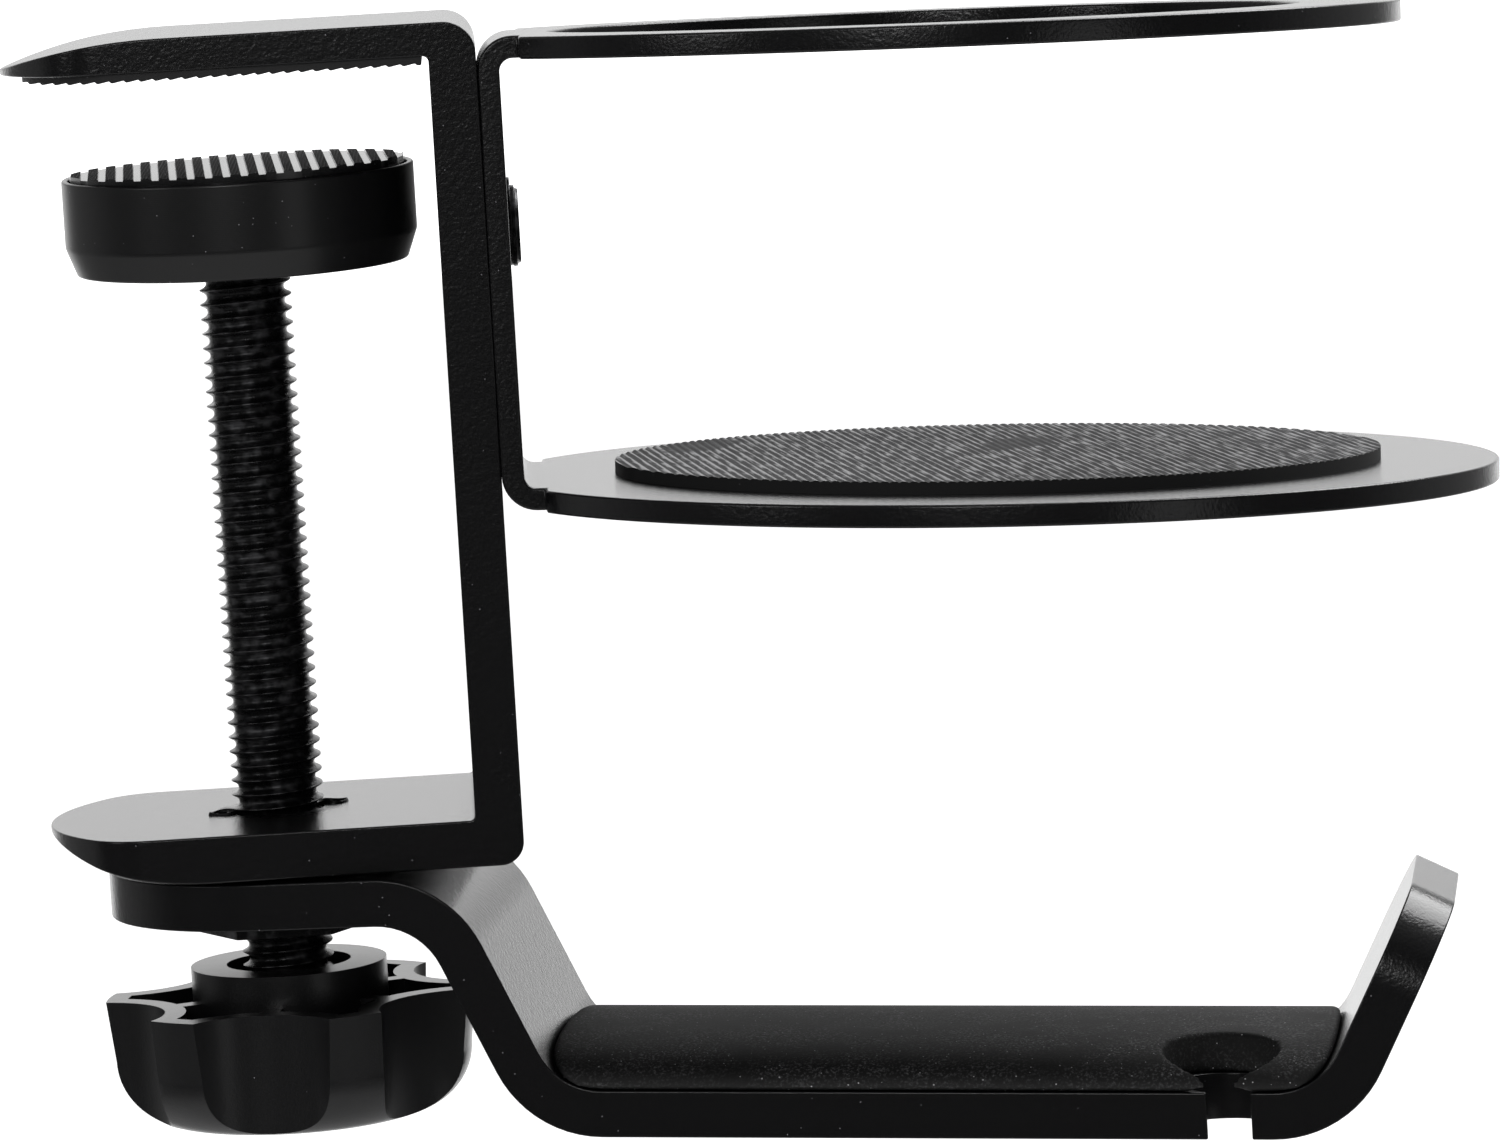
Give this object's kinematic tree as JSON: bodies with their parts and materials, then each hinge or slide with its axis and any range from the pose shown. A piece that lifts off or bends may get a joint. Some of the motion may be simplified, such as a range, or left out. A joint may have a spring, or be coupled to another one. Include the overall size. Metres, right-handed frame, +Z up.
{
  "type": "desk clamp headphone hook",
  "caption": "Black desk-edge clamp with a cup holder behind it and a cushioned headphone hook that swivels under its lower jaw.",
  "frame": {"origin": "on the underside of the upper jaw's rubber pad, on the clamp screw's axis, where the desk top's upper face meets the part", "axes": "+Z up along the clamp screw, +X from the screw towards the cup holder, +Y across the clamp's strap"},
  "size_m": [0.1267, 0.0864, 0.0969],
  "materials": {
    "powder_coat": "satin black powder coat on steel",
    "black_steel": "black oxide on steel",
    "black_aluminium": "satin black anodised, turned",
    "bright_steel": "zinc plated steel",
    "knob_plastic": "moulded black ABS, satin",
    "nylon": "black nylon",
    "ribbed_rubber": "ribbed black rubber",
    "mat_rubber": "black rubber with a fine twill texture",
    "cushion_rubber": "matt black silicone rubber"
  },
  "bodies": {
    "clamp": {"clamp_frame": "powder_coat", "jaw_pad": "ribbed_rubber", "swivel_washer": "nylon", "threaded_bush": "black_steel", "cup_holder": "powder_coat", "cup_mat": "mat_rubber", "holder_washer": "black_steel", "holder_screw": "black_steel"},
    "hook": {"hook_arm": "powder_coat", "hook_cushion": "cushion_rubber"},
    "carriage": {"ball_liner": "nylon"},
    "screw": {"clamp_screw": "black_steel", "knob": "knob_plastic", "knob_insert": "bright_steel"},
    "cup": {"pressure_cup": "black_aluminium", "pressure_pad": "ribbed_rubber"}
  },
  "joints": [
    {"name": "hook_swivel", "type": "hinge", "parent": "clamp", "child": "hook", "pos_m": [0, 0, -0.07035], "axis": [0, 0, 1], "continuous": true},
    {"name": "clamp_travel", "type": "slide", "parent": "clamp", "child": "carriage", "axis": [0, 0, 1], "range_m": [-0.045, 0.003]},
    {"name": "screw_turn", "type": "hinge", "parent": "carriage", "child": "screw", "pos_m": [0, 0, -0.0141], "axis": [0, 0, 1], "range_deg": [-12970, 870]},
    {"name": "pad_tilt", "type": "hinge", "parent": "carriage", "child": "cup", "pos_m": [0, 0, -0.0141], "axis": [1, 0, 0], "range_deg": [-8.2, 3.8]}
  ],
  "couplings": [
    {"joint": "screw_turn", "follows": "clamp_travel", "rad_per_m": 5026.5}
  ]
}
